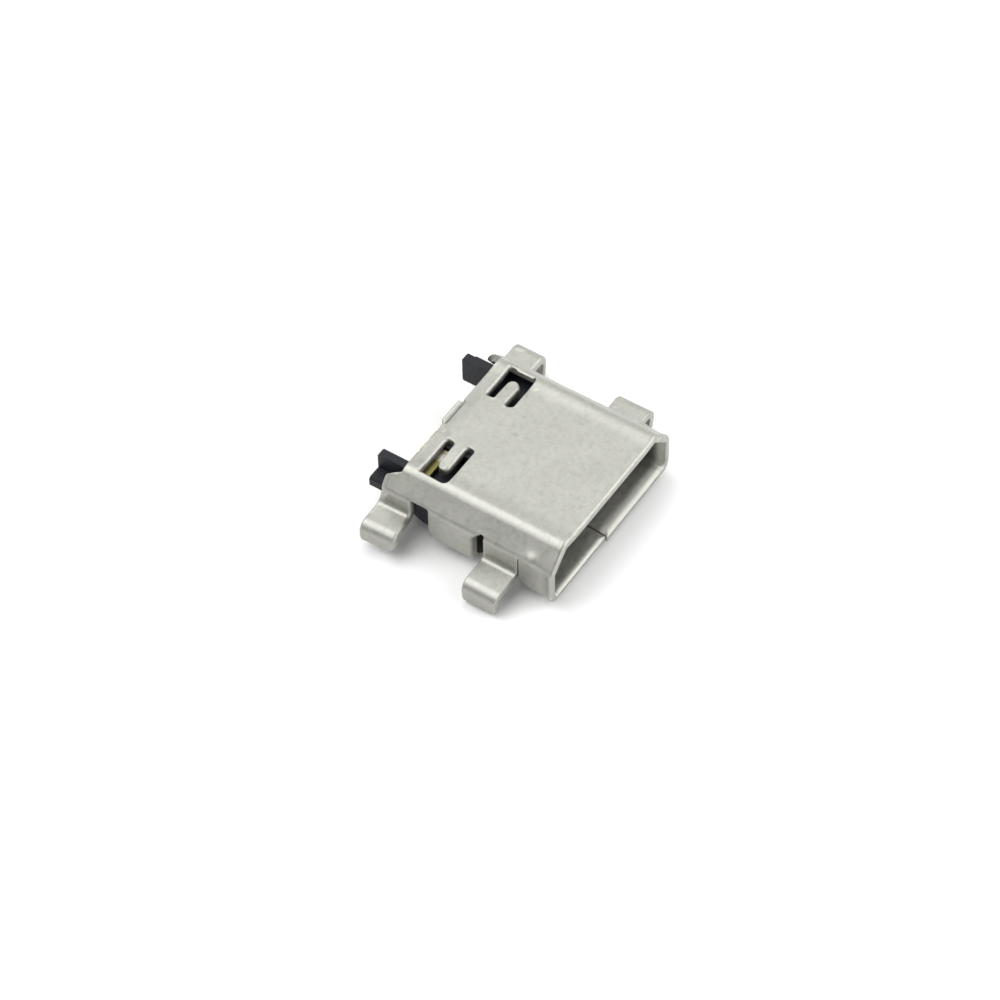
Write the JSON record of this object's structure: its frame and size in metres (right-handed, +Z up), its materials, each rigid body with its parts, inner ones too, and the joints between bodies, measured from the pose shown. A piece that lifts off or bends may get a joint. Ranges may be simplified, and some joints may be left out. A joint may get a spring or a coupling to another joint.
{
  "type": "micro charging receptacle",
  "caption": "Bare mid-mount micro-size charging receptacle: folded metal shell with bent board legs round a black insulator with a contact tongue.",
  "frame": {"origin": "middle of the footprint, on the plane that the four leg tips stand on", "axes": "+Z up, out of the flat narrow face of the shell; the mouth faces -Y, so a plug goes in along +Y; +X to the right looking along +Y"},
  "size_m": [0.0108, 0.008, 0.0028],
  "materials": {
    "shell_metal": "satin",
    "insulator": "matte",
    "gold_plate": "satin"
  },
  "bodies": {
    "root": {"shell": "shell_metal", "housing": "insulator", "side_contact": "gold_plate", "contact_1": "gold_plate", "contact_2": "gold_plate", "contact_3": "gold_plate", "contact_4": "gold_plate", "contact_5": "gold_plate"}
  },
  "joints": []
}
